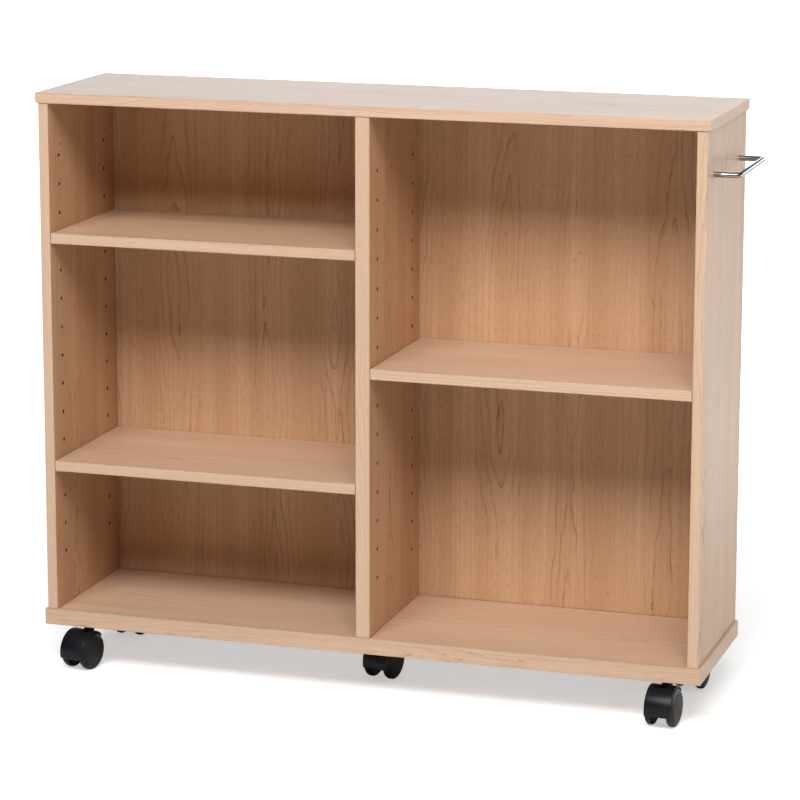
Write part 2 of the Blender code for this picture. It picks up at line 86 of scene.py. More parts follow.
def caster_place(caster):
    """The swivel axis, the middle of the axle and the turn in radians of one caster."""
    swivel = joints[f"caster_{caster}_swivel_turn"]["pos_m"]
    roll = joints[f"caster_{caster}_wheel_right_roll"]
    axis = roll["axis"]
    return Vector(swivel), Vector(roll["pos_m"]), math.atan2(axis[1], axis[0])


for caster in CASTERS:
    swivel_at, axle_at, turn = caster_place(caster)
    print(caster, [round(v, 4) for v in swivel_at], "turned", round(math.degrees(turn), 1))

# %% [markdown]
# ## Helpers for node trees
# A material is a small graph of nodes. These helpers add one node with its inputs filled in,
# so each material below reads as a list of what feeds what. An input takes either a plain
# value or the output of another node. The nodes could be placed by hand in the editor as
# well, but a list is easier to read and to change.

# %% Add nodes, sums and mixes
def put(tree, kind, wired=None, **settings):
    made = tree.nodes.new(kind)
    for key, value in settings.items():
        setattr(made, key, value)
    for socket, value in (wired or {}).items():
        if isinstance(value, bpy.types.NodeSocket):
            tree.links.new(value, made.inputs[socket])
        else:
            made.inputs[socket].default_value = value
    return made


def sum_of(tree, operation, *values):
    made = put(tree, "ShaderNodeMath", dict(enumerate(values)), operation=operation)
    return made.outputs[0]


def times(tree, a, b):
    return sum_of(tree, "MULTIPLY", a, b)


def ramp(tree, value, low, high, to_low=0.0, to_high=1.0):
    """A smooth step of value from low to high."""
    wired = {0: value, 1: low, 2: high, 3: to_low, 4: to_high}
    return put(tree, "ShaderNodeMapRange", wired, interpolation_type="SMOOTHSTEP").outputs[0]


def mix(tree, factor, a, b, blend="MIX"):
    wired = {0: factor, 6: a, 7: b}
    return put(tree, "ShaderNodeMix", wired, data_type="RGBA", blend_type=blend).outputs[2]


def vector_of(tree, x, y, z):
    return put(tree, "ShaderNodeCombineXYZ", {0: x, 1: y, 2: z}).outputs[0]


def split(tree, vector):
    """The three numbers of a vector."""
    return put(tree, "ShaderNodeSeparateXYZ", {0: vector}).outputs


def vector_sum(tree, operation, *vectors):
    """Arithmetic with vectors. A length or a dot product is a single number."""
    made = put(tree, "ShaderNodeVectorMath", dict(enumerate(vectors)), operation=operation)
    return made.outputs["Value" if operation in ("LENGTH", "DOT_PRODUCT") else "Vector"]


def noise(tree, vector, scale, detail=2.0, roughness=0.5, distortion=0.0, kind="3D"):
    wired = {"Vector": vector, "Scale": scale, "Detail": detail, "Roughness": roughness}
    wired["Distortion"] = distortion
    return put(tree, "ShaderNodeTexNoise", wired, noise_dimensions=kind).outputs[0]


def new_group(name, takes, gives):
    """An empty node group with named inputs and outputs, and its first and last nodes."""
    group = bpy.data.node_groups.new(name, "ShaderNodeTree")
    for title, value in takes:
        kind = "NodeSocketFloat"
        if isinstance(value, tuple):
            kind = "NodeSocketColor" if len(value) == 4 else "NodeSocketVector"
        socket = group.interface.new_socket(title, in_out="INPUT", socket_type=kind)
        socket.default_value = value
    for title, kind in gives:
        group.interface.new_socket(title, in_out="OUTPUT", socket_type="NodeSocket" + kind)
    inside = group.nodes.new("NodeGroupInput").outputs
    return group, inside, group.nodes.new("NodeGroupOutput").inputs


def use_group(tree, group, wired):
    return put(tree, "ShaderNodeGroup", wired, node_tree=group).outputs


def new_material(name):
    material = bpy.data.materials.new(name)
    material.use_nodes = True
    surface = material.node_tree.nodes["Principled BSDF"]
    return material, material.node_tree, surface


def emboss(tree, surface, height, strength, depth):
    """Raises the surface by a height from 0 to 1, times a depth in metres."""
    wired = {"Strength": strength, "Distance": depth, "Height": height}
    bump = put(tree, "ShaderNodeBump", wired)
    tree.links.new(bump.outputs[0], surface.inputs["Normal"])


# %% [markdown]
# ## The maple pattern
# Maple laminate is a printed picture of sawn planks laid side by side. Where the saw passed
# near the heart of a log, the growth rings show as long arches; beside that, they run straight.
# A wave texture gives stripes that look combed, so the rings are worked out as a real cut
# would show them: each plank is a slice through a set of cylinders that wander up and down
# along its length, and the distance to the heart gives the ring. Fine fibres, short dark
# flecks and broad warm and cool bands come from stretched noise.

# %% The maple figure, as a node group
PLANK = 0.15  # width of one printed plank
RINGS = 40.0  # growth rings in a metre, out from the heart
LATE_WOOD = 12.0  # the higher, the thinner the dark line that ends a ring
WANDER = 0.034  # how far the rings leave a smooth curve
ARCH = 1.5  # 2 makes round arches, less makes them pointed

figure, take, give = new_group(
    "maple figure",
    [
        ("Along", 0.0),
        ("Across", 0.0),
        ("Seed", 0.0),
        ("Pale", (0.625, 0.387, 0.235, 1.0)),
        ("Warm", (0.545, 0.32, 0.178, 1.0)),
        ("Streak", (0.46, 0.26, 0.145, 1.0)),
        ("Line", (0.225, 0.1, 0.044, 1.0)),
        ("Line Strength", 0.88),
    ],
    [("Colour", "Color"), ("Gloss", "Float"), ("Relief", "Float")],
)
along, across, seed = take["Along"], take["Across"], take["Seed"]
shift = times(figure, seed, 3.7)


def drawn_out(along_scale, across_scale, start=shift, **rest):
    """Flat noise over a board, stretched along its grain."""
    x = sum_of(figure, "MULTIPLY_ADD", along, along_scale, start)
    y = times(figure, across, across_scale)
    return noise(figure, vector_of(figure, x, y, 0.0), 1.0, kind="2D", **rest)


bent = sum_of(figure, "MULTIPLY_ADD", drawn_out(1.3, 1.0, detail=0.0), 0.05, across)
count = sum_of(figure, "DIVIDE", sum_of(figure, "MULTIPLY_ADD", seed, 0.37, bent), PLANK)
plank = sum_of(figure, "FLOOR", count)
ticket = {"W": sum_of(figure, "ADD", plank, seed)}
chance = put(figure, "ShaderNodeTexWhiteNoise", ticket, noise_dimensions="1D")
luck = put(figure, "ShaderNodeSeparateColor", {0: chance.outputs["Color"]}).outputs
middle = sum_of(figure, "MULTIPLY_ADD", luck[0], 0.3, 0.35)
from_heart = sum_of(figure, "SUBTRACT", sum_of(figure, "FRACT", count), middle)
from_heart = sum_of(figure, "ABSOLUTE", times(figure, from_heart, PLANK))
own_start = sum_of(figure, "MULTIPLY_ADD", plank, 9.7, shift)
sway = drawn_out(2.1, 0.0, start=own_start, detail=0.0)
depth = times(figure, sum_of(figure, "SUBTRACT", sway, luck[2]), 0.2)
steep = sum_of(figure, "POWER", times(figure, from_heart, 2.3), ARCH)
deep = sum_of(figure, "POWER", sum_of(figure, "ABSOLUTE", depth), ARCH)
radius = sum_of(figure, "POWER", sum_of(figure, "ADD", steep, deep), 1 / ARCH)
wander = drawn_out(9.0, 38.0, start=own_start, detail=4.0, roughness=0.52)
radius = sum_of(figure, "MULTIPLY_ADD", wander, WANDER, radius)
late = sum_of(figure, "POWER", sum_of(figure, "FRACT", times(figure, radius, RINGS)), LATE_WOOD)
patchy = ramp(figure, drawn_out(4.0, 16.0, start=own_start, detail=1.0), 0.38, 0.58, 0.1, 1.0)
near_heart = ramp(figure, from_heart, 0.02, 0.055, 1.0, 0.15)
lines = times(figure, late, times(figure, patchy, near_heart))
fibre = drawn_out(6.0, 470.0, detail=1.0, roughness=0.65)
streak = ramp(figure, drawn_out(1.9, 240.0, detail=3.0, roughness=0.6), 0.3, 0.7)
fleck = ramp(figure, drawn_out(70.0, 900.0, detail=0.0), 0.68, 0.8)
band = drawn_out(0.9, 17.0, detail=1.0)
body = mix(figure, ramp(figure, band, 0.25, 0.75), take["Pale"], take["Warm"])
body = mix(figure, times(figure, streak, 0.48), body, take["Streak"])
body = mix(figure, times(figure, lines, take["Line Strength"]), body, take["Line"])
body = mix(figure, times(figure, fleck, 0.3), body, take["Line"])
figure.links.new(body, give["Colour"])
gloss = sum_of(figure, "ADD", times(figure, fibre, 0.6), times(figure, lines, 0.4))
figure.links.new(gloss, give["Gloss"])
relief = sum_of(figure, "SUBTRACT", fibre, times(figure, fleck, 0.6))
figure.links.new(relief, give["Relief"])
print("maple figure:", len(figure.nodes), "nodes")

# %% [markdown]
# ## Edges that have been handled
# Board edges are closed with a thin band of a similar print. The band is glued on, so a hair
# line shows beside it, and the arrises are rubbed a little paler. Blender can find edges with
# its Bevel or Pointiness nodes, but on plain boards the distance to the box's own edges is
# exact, and it costs nothing. Of the three distances to the box's faces the smallest is zero
# on the surface, so the middle one is the distance to the nearest edge.

# %% The board edge, as a node group
edges, take, give = new_group(
    "board edges",
    [
        ("Place", (0.0, 0.0, 0.0)),
        ("Low", (0.0, 0.0, 0.0)),
        ("High", (1.0, 1.0, 1.0)),
        ("Width", 0.0012),
    ],
    [("Wear", "Float"), ("Glue Line", "Float"), ("Inside", "Float")],
)
over = vector_sum(edges, "SUBTRACT", take["Place"], take["Low"])
under = vector_sum(edges, "SUBTRACT", take["High"], take["Place"])
x, y, z = split(edges, vector_sum(edges, "MINIMUM", over, under))
smallest = sum_of(edges, "MINIMUM", sum_of(edges, "MINIMUM", x, y), z)
largest = sum_of(edges, "MAXIMUM", sum_of(edges, "MAXIMUM", x, y), z)
total = sum_of(edges, "ADD", sum_of(edges, "ADD", x, y), z)
second = sum_of(edges, "SUBTRACT", total, sum_of(edges, "ADD", smallest, largest))
rubbed = noise(edges, take["Place"], 60.0, detail=1.0)
reach = times(edges, take["Width"], ramp(edges, rubbed, 0.3, 0.75, 0.35, 1.6))
edges.links.new(ramp(edges, second, 0.0, reach, 1.0, 0.0), give["Wear"])
line_low = ramp(edges, second, 0.0004, 0.0008)
line_high = ramp(edges, second, 0.0012, 0.0018, 1.0, 0.0)
edges.links.new(times(edges, line_low, line_high), give["Glue Line"])
edges.links.new(ramp(edges, smallest, 0.0001, 0.0004), give["Inside"])
print("board edges:", len(edges.nodes), "nodes")

# %% [markdown]
# ## Chipboard and drilled holes
# Inside, the boards are chipboard, which shows in the shelf-pin holes. Its crumbs are painted
# near black: that is painted shade in the holes, laid over the chipboard's own crumbs. Round
# each hole in an upright, a thin dark rim of painted shade makes the hole's dark mouth a little
# wider. The rims could be loose rings of mesh, but the holes stand in even rows and two
# columns, so the distance to the nearest hole gives every rim at once. The columns are read
# from the pins.

# %% The inside of a board and the drilled holes, with their painted shade, as node groups
HOLE_PITCH, FIRST_ROW, LAST_ROW = 0.05, 0.204, 0.904  # rows, in metres above the floor
HOLE_RADIUS = 0.0025
RIM_FULL, RIM_END = HOLE_RADIUS + 0.0005, HOLE_RADIUS + 0.0013
ON_FACE = 0.0003  # a point this close to a drilled face lies on it
HOLE_COLUMNS = [sum(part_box("shelf_right_pin_" + number), Vector()).y / 2 for number in "12"]

# The chipboard's colours are painted near black, as painted shade inside the holes.
chipboard_and_shade, take, give = new_group(
    "chipboard and painted hole shade",
    [
        ("Place", (0.0, 0.0, 0.0)),
        ("Chip Scale", 700.0),
        ("Dark", (0.012, 0.007, 0.004, 1.0)),
        ("Light", (0.035, 0.02, 0.012, 1.0)),
    ],
    [("Colour", "Color")],
)
chips = ramp(chipboard_and_shade, noise(chipboard_and_shade, take["Place"], take["Chip Scale"], detail=1.0), 0.35, 0.65)
chipboard_and_shade.links.new(mix(chipboard_and_shade, chips, take["Dark"], take["Light"]), give["Colour"])

drilled, take, give = new_group(
    "painted hole rim shade",
    [
        ("Place", (0.0, 0.0, 0.0)),
        ("Face A", 0.0),
        ("Face B", 0.0),
        ("Front Column", HOLE_COLUMNS[0]),
        ("Rear Column", HOLE_COLUMNS[1]),
    ],
    [("Rim Shade", "Float")],
)
x, y, z = split(drilled, take["Place"])
above_start = sum_of(drilled, "SUBTRACT", z, FIRST_ROW - HOLE_PITCH / 2)
in_row = sum_of(drilled, "FRACT", sum_of(drilled, "DIVIDE", above_start, HOLE_PITCH))
up = times(drilled, sum_of(drilled, "SUBTRACT", in_row, 0.5), HOLE_PITCH)
fore = sum_of(drilled, "ABSOLUTE", sum_of(drilled, "SUBTRACT", y, take["Front Column"]))
aft = sum_of(drilled, "ABSOLUTE", sum_of(drilled, "SUBTRACT", y, take["Rear Column"]))
flat = vector_of(drilled, sum_of(drilled, "MINIMUM", fore, aft), up, 0.0)
# a ring just outside each hole, where shade is painted on
rim_shade = ramp(drilled, vector_sum(drilled, "LENGTH", flat), RIM_FULL, RIM_END, 1.0, 0.0)
half_height = (LAST_ROW - FIRST_ROW + HOLE_PITCH) / 2
in_rows = sum_of(drilled, "COMPARE", z, (FIRST_ROW + LAST_ROW) / 2, half_height)
on_a = sum_of(drilled, "COMPARE", x, take["Face A"], ON_FACE)
on_b = sum_of(drilled, "COMPARE", x, take["Face B"], ON_FACE)
on_face = sum_of(drilled, "MAXIMUM", on_a, on_b)
drilled.links.new(times(drilled, rim_shade, times(drilled, in_rows, on_face)), give["Rim Shade"])
print("hole columns at", [round(v, 4) for v in HOLE_COLUMNS])

# %% [markdown]
# ## Laminate for each board
# Every board is cut from its own sheet, so each gets its own seed and its own place in the
# pattern. The grain runs up the uprights and the back, and along the top, bottom and shelves.
# The edge bands are a little paler than the faces. The top, the bottom, the shelves and the right
# side also take some of the band's paler colour over their faces, with paler streaks and stronger
# lines: this is a painted sheen. Where the board's thin faces are is told by the normal, compared
# with the direction of the board's thickness. The laminate has a satin sheen: a roughness near
# 0.4 that varies with the print. In the photograph the top and the right side shine more than
# the boards in the bays, so each board has its own index of refraction. One picture of wood on
# all boards would be quicker, but its repeats would show.

# %% Dress the boards
AXES = {"X": (1.0, 0.0, 0.0), "Y": (0.0, 1.0, 0.0), "Z": (0.0, 0.0, 1.0)}
BAND_COLOUR = (0.68, 0.515, 0.42, 1.0)
GLUE_COLOUR = (0.3, 0.17, 0.1, 1.0)
RUBBED_COLOUR = (0.78, 0.62, 0.5, 1.0)
# near black: the painted shade round the mouth of each hole
RIM_SHADE_COLOUR = (0.018, 0.01, 0.006, 1.0)
DRILLED_FACES = {
    "side_panel_left": ["high"],
    "side_panel_right": ["low"],
    "divider_panel": ["low", "high"],
}


def maple(node, grain, thickness, seed_value, painted_sheen, ior):
    """The laminate of one CAD board, with the grain and the thickness along the given axes.

    The painted sheen is the share of the edge band's paler colour painted over the faces.
    """
    material, tree, surface = new_material("maple_" + node)
    low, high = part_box(node)
    coords = put(tree, "ShaderNodeTexCoord").outputs
    place = dict(zip("XYZ", split(tree, coords["Object"])))
    third = ({"X", "Y", "Z"} - {grain, thickness}).pop()
    # the thickness is added, so the print runs on round the edge instead of stopping there
    round_the_edge = sum_of(tree, "MULTIPLY_ADD", place[thickness], 1.7, place[third])
    facing = vector_sum(tree, "DOT_PRODUCT", coords["Normal"], AXES[thickness])
    is_band = ramp(tree, sum_of(tree, "ABSOLUTE", facing), 0.35, 0.8, 1.0, 0.0)
    figured = use_group(
        tree,
        figure,
        {
            "Along": place[grain],
            "Across": round_the_edge,
            "Seed": seed_value,
            # the streaks are paled and the lines drawn stronger along with the painted sheen
            "Streak": (0.46 - 0.3 * painted_sheen, 0.26 - 0.2 * painted_sheen, 0.145 - 0.12 * painted_sheen, 1.0),
            "Line Strength": 0.88 + 0.5 * painted_sheen,
        },
    )
    edge = use_group(tree, edges, {"Place": coords["Object"], "Low": low, "High": high})
    # the band colour covers the edge bands, and a share of it is painted on the faces as sheen
    band_and_sheen_share = sum_of(tree, "MULTIPLY_ADD", is_band, 0.4 - painted_sheen, painted_sheen)
    colour = mix(tree, band_and_sheen_share, figured["Colour"], BAND_COLOUR)
    colour = mix(tree, times(tree, edge["Glue Line"], 0.22), colour, GLUE_COLOUR)
    colour = mix(tree, times(tree, edge["Wear"], 0.3), colour, RUBBED_COLOUR)
    # the board's inside gets chipboard painted near black, a painted shade in the holes
    raw_and_shade = use_group(tree, chipboard_and_shade, {"Place": coords["Object"]})
    colour = mix(tree, edge["Inside"], colour, raw_and_shade["Colour"])
    if node in DRILLED_FACES:
        faces = [low.x if side == "low" else high.x for side in DRILLED_FACES[node]]
        wired = {"Place": coords["Object"], "Face A": faces[0], "Face B": faces[-1]}
        # a thin ring of painted shade round each hole in an upright
        colour = mix(tree, use_group(tree, drilled, wired)["Rim Shade"], colour, RIM_SHADE_COLOUR)
    tree.links.new(colour, surface.inputs["Base Color"])
    tree.links.new(ramp(tree, figured["Gloss"], 0.2, 0.8, 0.3, 0.42), surface.inputs["Roughness"])
    surface.inputs["IOR"].default_value = ior
    emboss(tree, surface, figured["Relief"], 0.25, 0.00012)
    return material


# the grain's axis, the thickness's axis, the seed, the share of band colour painted on the faces as sheen, the IOR
BOARDS = {
    "top_panel": ("X", "Z", 3.1, 0.3, 1.36),
    "bottom_panel": ("X", "Z", 7.4, 0.32, 1.3),
    "shelf_upper_left": ("X", "Z", 12.7, 0.25, 1.3),
    "shelf_lower_left": ("X", "Z", 15.2, 0.32, 1.3),
    "shelf_right": ("X", "Z", 21.9, 0.38, 1.3),
    "side_panel_left": ("Z", "X", 27.3, 0.0, 1.3),
    "side_panel_right": ("Z", "X", 31.6, 0.2, 1.36),
    "divider_panel": ("Z", "X", 38.8, 0.0, 1.24),
    "back_panel": ("Z", "Y", 44.5, 0.0, 1.2),
}


def dress(node, material):
    """Puts a material in every slot of a CAD node."""
    for slot in frame["nodes"][node].material_slots:
        slot.material = material


for node, choices in BOARDS.items():
    dress(node, maple(node, *choices))
print("boards dressed:", len(BOARDS))

# %% [markdown]
# ## Metal
# The handle is a polished steel rod, and the pins and screws are zinc plated. Polishing leaves
# very fine scratches along the rod, and hands leave faint dull patches. One colour and one
# roughness would be simpler, but it looks like paint. The marks change the roughness more
# than the colour, so one group makes both masks and each metal uses them in its own amount.

# %% The handled metal, as a node group, and the metals
handled, take, give = new_group(
    "handled metal",
    [("Place", (0.0, 0.0, 0.0)), ("Stretch", (1.0, 1.0, 1.0)), ("Scratch Scale", 900.0)],
    [("Scratches", "Float"), ("Smudges", "Float")],
)
drawn = vector_sum(handled, "MULTIPLY", take["Place"], take["Stretch"])
scratches = noise(handled, drawn, take["Scratch Scale"], detail=3.0, roughness=0.7)
handled.links.new(scratches, give["Scratches"])
smudges = ramp(handled, noise(handled, take["Place"], 34.0, detail=4.0), 0.42, 0.7)
handled.links.new(smudges, give["Smudges"])


def metal(name, colour, tarnish, smooth, rough, stretch, scratch_depth):
    """A metal between two colours and two roughnesses; a small stretch draws scratches out."""
    material, tree, surface = new_material(name)
    coords = put(tree, "ShaderNodeTexCoord").outputs
    marks = use_group(tree, handled, {"Place": coords["Object"], "Stretch": stretch})
    dull = times(tree, marks["Smudges"], 0.5)
    tree.links.new(mix(tree, dull, (*colour, 1.0), (*tarnish, 1.0)), surface.inputs["Base Color"])
    worn = sum_of(tree, "ADD", times(tree, marks["Scratches"], 0.5), dull)
    tree.links.new(ramp(tree, worn, 0.1, 0.9, smooth, rough), surface.inputs["Roughness"])
    surface.inputs["Metallic"].default_value = 1.0
    emboss(tree, surface, marks["Scratches"], 0.3, scratch_depth)
    return material


STEEL_CLEAN, STEEL_DULL = (0.3, 0.294, 0.286), (0.24, 0.232, 0.222)
ZINC_CLEAN, ZINC_DULL = (0.64, 0.65, 0.66), (0.5, 0.5, 0.49)
BRASS_CLEAN, BRASS_DULL = (0.72, 0.55, 0.28), (0.5, 0.36, 0.17)
POLISHED = metal(
    "polished_steel_rod", STEEL_CLEAN, STEEL_DULL, 0.03, 0.09, (1.0, 0.06, 1.0), 0.00001
)
ZINC = metal("zinc_plate", ZINC_CLEAN, ZINC_DULL, 0.24, 0.42, (1.0, 1.0, 1.0), 0.00002)
BRASS = metal("turned_brass", BRASS_CLEAN, BRASS_DULL, 0.25, 0.45, (1.0, 1.0, 0.2), 0.00002)
print("metals:", POLISHED.name, ZINC.name, BRASS.name)

# %% [markdown]
# ## Moulded nylon
# The hoods and wheels are black nylon. The mould gives it a fine even texture, and the sheen
# is broken by flow marks. The wheels also pick up dust where they touch the floor. Plain
# black would look like a hole in the picture. The marks are a group, because the hoods and
# the wheels use them in different strengths.

# %% The moulded texture, as a node group, and the plastics
moulded, take, give = new_group(
    "moulded nylon",
    [("Place", (0.0, 0.0, 0.0)), ("Texture Scale", 1500.0), ("Flow Scale", 45.0)],
    [("Grain", "Float"), ("Flow", "Float"), ("Dust", "Float")],
)
moulded.links.new(noise(moulded, take["Place"], take["Texture Scale"], detail=2.0), give["Grain"])
flow = noise(moulded, take["Place"], take["Flow Scale"], detail=3.0, distortion=0.6)
moulded.links.new(flow, give["Flow"])
dust = noise(moulded, take["Place"], 260.0, detail=5.0, roughness=0.7)
moulded.links.new(ramp(moulded, dust, 0.52, 0.72), give["Dust"])
DUST_COLOUR = (0.2, 0.185, 0.165, 1.0)


def nylon(name, colour, smooth, rough, grain_depth, tread_radius=None):
    """Black nylon. A wheel's tread radius adds dust from that radius outwards from its X axis."""
    material, tree, surface = new_material(name)
    coords = put(tree, "ShaderNodeTexCoord").outputs
    marks = use_group(tree, moulded, {"Place": coords["Object"]})
    tone = ramp(tree, marks["Flow"], 0.3, 0.7)
    base = mix(tree, tone, (*colour, 1.0), (*[1.5 * c for c in colour], 1.0))
    dusty = times(tree, marks["Dust"], 0.05)
    if tread_radius:
        x, y, z = split(tree, coords["Object"])
        out = vector_sum(tree, "LENGTH", vector_of(tree, 0.0, y, z))
        on_tread = times(tree, ramp(tree, out, tread_radius - 0.0012, tread_radius), marks["Dust"])
        dusty = sum_of(tree, "ADD", dusty, times(tree, on_tread, 0.4))
    tree.links.new(mix(tree, dusty, base, DUST_COLOUR), surface.inputs["Base Color"])
    surface.inputs["Specular IOR Level"].default_value = 0.25
    worn = sum_of(tree, "ADD", times(tree, marks["Flow"], 0.6), times(tree, marks["Dust"], 0.4))
    tree.links.new(ramp(tree, worn, 0.15, 0.75, smooth, rough), surface.inputs["Roughness"])
    emboss(tree, surface, marks["Grain"], 0.35, grain_depth)
    return material


HOOD_NYLON = nylon("hood_nylon", (0.005, 0.0058, 0.008), 0.32, 0.48, 0.00004)
WHEEL_NYLON = nylon("wheel_nylon", (0.005, 0.005, 0.005), 0.36, 0.55, 0.00005, tread_radius=0.032)
print("plastics:", HOOD_NYLON.name, WHEEL_NYLON.name)

# %% [markdown]
# ## Turning a profile
# Wheels, pins and screws are all round, so each is one outline spun about an axis. Blender's
# Screw modifier does this well, but writing the rings straight into a mesh keeps the script
# free of modifiers and lets the sides be as many as a close view needs.

# %% Spin an outline into a mesh
def new_object(name, data):
    """An object that holds a mesh, a lamp or a camera and stands in the scene."""
    made = bpy.data.objects.new(name, data)
    bpy.context.scene.collection.objects.link(made)
    return made


def smooth(mesh, sharp_angle):
    """Smooth shading that stays crisp where faces meet at more than the angle in degrees."""
    mesh.shade_smooth()
    mesh.set_sharp_from_angle(angle=math.radians(sharp_angle))
    return mesh


def mesh_of(shape, name):
    mesh = bpy.data.meshes.new(name)
    shape.to_mesh(mesh)
    shape.free()
    return mesh


def turned(name, outline, sides):
    """The outline is (distance along X, radius) points; a radius of 0 closes an end."""
    shape = bmesh.new()
    rings = []
    for x, r in outline:
        if r == 0:
            rings.append([shape.verts.new((x, 0, 0))])
            continue
        angles = [2 * math.pi * i / sides for i in range(sides)]
        rings.append([shape.verts.new((x, r * math.cos(a), r * math.sin(a))) for a in angles])
    for first, second in zip(rings, rings[1:]):
        for i in range(sides):
            j = (i + 1) % sides
            corners = [first[i % len(first)], first[j % len(first)]]
            corners += [second[j % len(second)], second[i % len(second)]]
            corners = list(dict.fromkeys(corners))
            if len(corners) > 2:
                shape.faces.new(corners)
    bmesh.ops.recalc_face_normals(shape, faces=shape.faces)
    return smooth(mesh_of(shape, name), 38)


def arc(middle_x, middle_r, radius, start, end, steps):
    """Points of a rounded corner, by angles in degrees from +X towards a larger radius."""
    points = []
    for i in range(steps + 1):
        a = math.radians(start + (end - start) * i / steps)
        points.append((middle_x + radius * math.cos(a), middle_r + radius * math.sin(a)))
    return points


def add_piece(name, mesh, material, matrix, body, instead_of):
    """Places one finer piece over the CAD node that it stands for."""
    piece = new_object(name, mesh)
    mesh.materials.clear()
    mesh.materials.append(material)
    piece.matrix_world = matrix
    bpy.context.view_layer.update()
    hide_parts(instead_of)
    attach(piece, body)
    return piece


# %% [markdown]
# ## Caster wheels
# Each caster has two nylon wheels. The outer face of a wheel is a shallow domed disc with a
# bevelled border, then a rounded shoulder leads into the tread. A fine groove round the disc
# shows where the disc is pressed into the wheel. The inner face is recessed behind the rim and
# has a boss round the axle. A wheel could be put together from discs and rings, but in one
# turned outline the shoulder stays smooth. The same outline serves all ten wheels.

# %% Turn the wheels
WHEEL_R = 0.0325
INNER, RIM, DOME = 0.0132, 0.024, 0.0275  # from the caster's middle to a wheel's faces
SHOULDER = 0.0034
AXLE_BORE_R = 0.0031
BORE_END = 0.0228
wheel_outline = [
    (DOME, 0),
    (DOME - 0.0001, 0.006),
    (DOME - 0.0005, 0.0135),
    (DOME - 0.001, 0.0203),
    (DOME - 0.0014, 0.0238),
    (DOME - 0.0021, 0.0243),
    (DOME - 0.0021, 0.0248),
    (DOME - 0.0016, 0.0253),
    (DOME - 0.0019, 0.027),
    (RIM + 0.0003, 0.0288),
]
wheel_outline += arc(RIM - SHOULDER, WHEEL_R - SHOULDER, SHOULDER, 20, 90, 6)
wheel_outline += arc(INNER + SHOULDER, WHEEL_R - SHOULDER, SHOULDER, 90, 180, 6)
wheel_outline += [
    (INNER, 0.0267),
    (INNER + 0.002, 0.0262),
    (INNER + 0.0022, 0.0075),
    (INNER, 0.007),
    (INNER, AXLE_BORE_R),
    (BORE_END, AXLE_BORE_R),
    (BORE_END, 0),
]
wheel_mesh = turned("caster_wheel_fine", wheel_outline, 72)

for caster in CASTERS:
    swivel_at, axle_at, turn = caster_place(caster)
    for side, more in (("left", math.pi), ("right", 0.0)):
        node = f"caster_{caster}_wheel_{side}"
        spin = Matrix.Translation(axle_at) @ Matrix.Rotation(turn + more, 4, "Z")
        wheel = wheel_mesh.copy()
        add_piece(node + "_fine", wheel, WHEEL_NYLON, spin, node, node)
print("wheel faces:", len(wheel_mesh.polygons))

# %% [markdown]
# ## Caster hoods
# A hood is one moulding: a thick web between the wheels, a thin curved cover over the nose and
# top, and a round housing for the stem behind it. It could be modelled face by face, but the
# real one is a solid outline with room cut out for each wheel, so it is made the same way: the
# outline is extruded, its edges are rounded, the housing is joined on, and the wheel rooms and
# the bores are cut out.

# %% Mould the hoods
TRAIL = 0.020  # how far the axle stands from the stem
HOOD_R = 0.0362  # the cover's outside, measured from the axle
COVER_FROM, COVER_TO, COVER_STEP = -16, 136, 2  # the cover's arc in degrees
HOOD_HALF, WEB_HALF = 0.023, 0.0122  # half widths
EDGE_ROUND = 0.0012
WHEEL_ROOM_R = WHEEL_R + 0.0014
HOUSING_LOW = WHEEL_R - 0.008
TAIL_HALF, TAIL_LOW = 0.0093, WHEEL_R - 0.014
NECK_R = 0.0092
BOARD_UNDERSIDE = 0.080
FLANGE, CLEARANCE = 0.0027, 0.0003  # the stem's flange lies between neck and board
STEM_BORE_R, STEM_BORE_LENGTH, STEM_SEAT = 0.0041, 0.06, 0.007


def cylinder(name, middle, axis, radius, length, sides):
    shape = bmesh.new()
    turn_to = Vector((0, 0, 1)).rotation_difference(Vector(axis)).to_matrix().to_4x4()
    bmesh.ops.create_cone(
        shape,
        cap_ends=True,
        segments=sides,
        radius1=radius,
        radius2=radius,
        depth=length,
        matrix=Matrix.Translation(middle) @ turn_to,
    )
    return new_object(name, mesh_of(shape, name))


def cut(target, other, operation):
    step = target.modifiers.new(other.name, "BOOLEAN")
    step.operation = operation
    step.solver = "EXACT"
    step.object = other


def cut_mesh(target, helpers):
    """The target's mesh with its cuts made. The target and the helpers are cleared away."""
    bpy.context.view_layer.update()
    depsgraph = bpy.context.evaluated_depsgraph_get()
    made = bpy.data.meshes.new_from_object(target.evaluated_get(depsgraph))
    for helper in [target, *helpers]:
        bpy.data.objects.remove(helper)
    return made


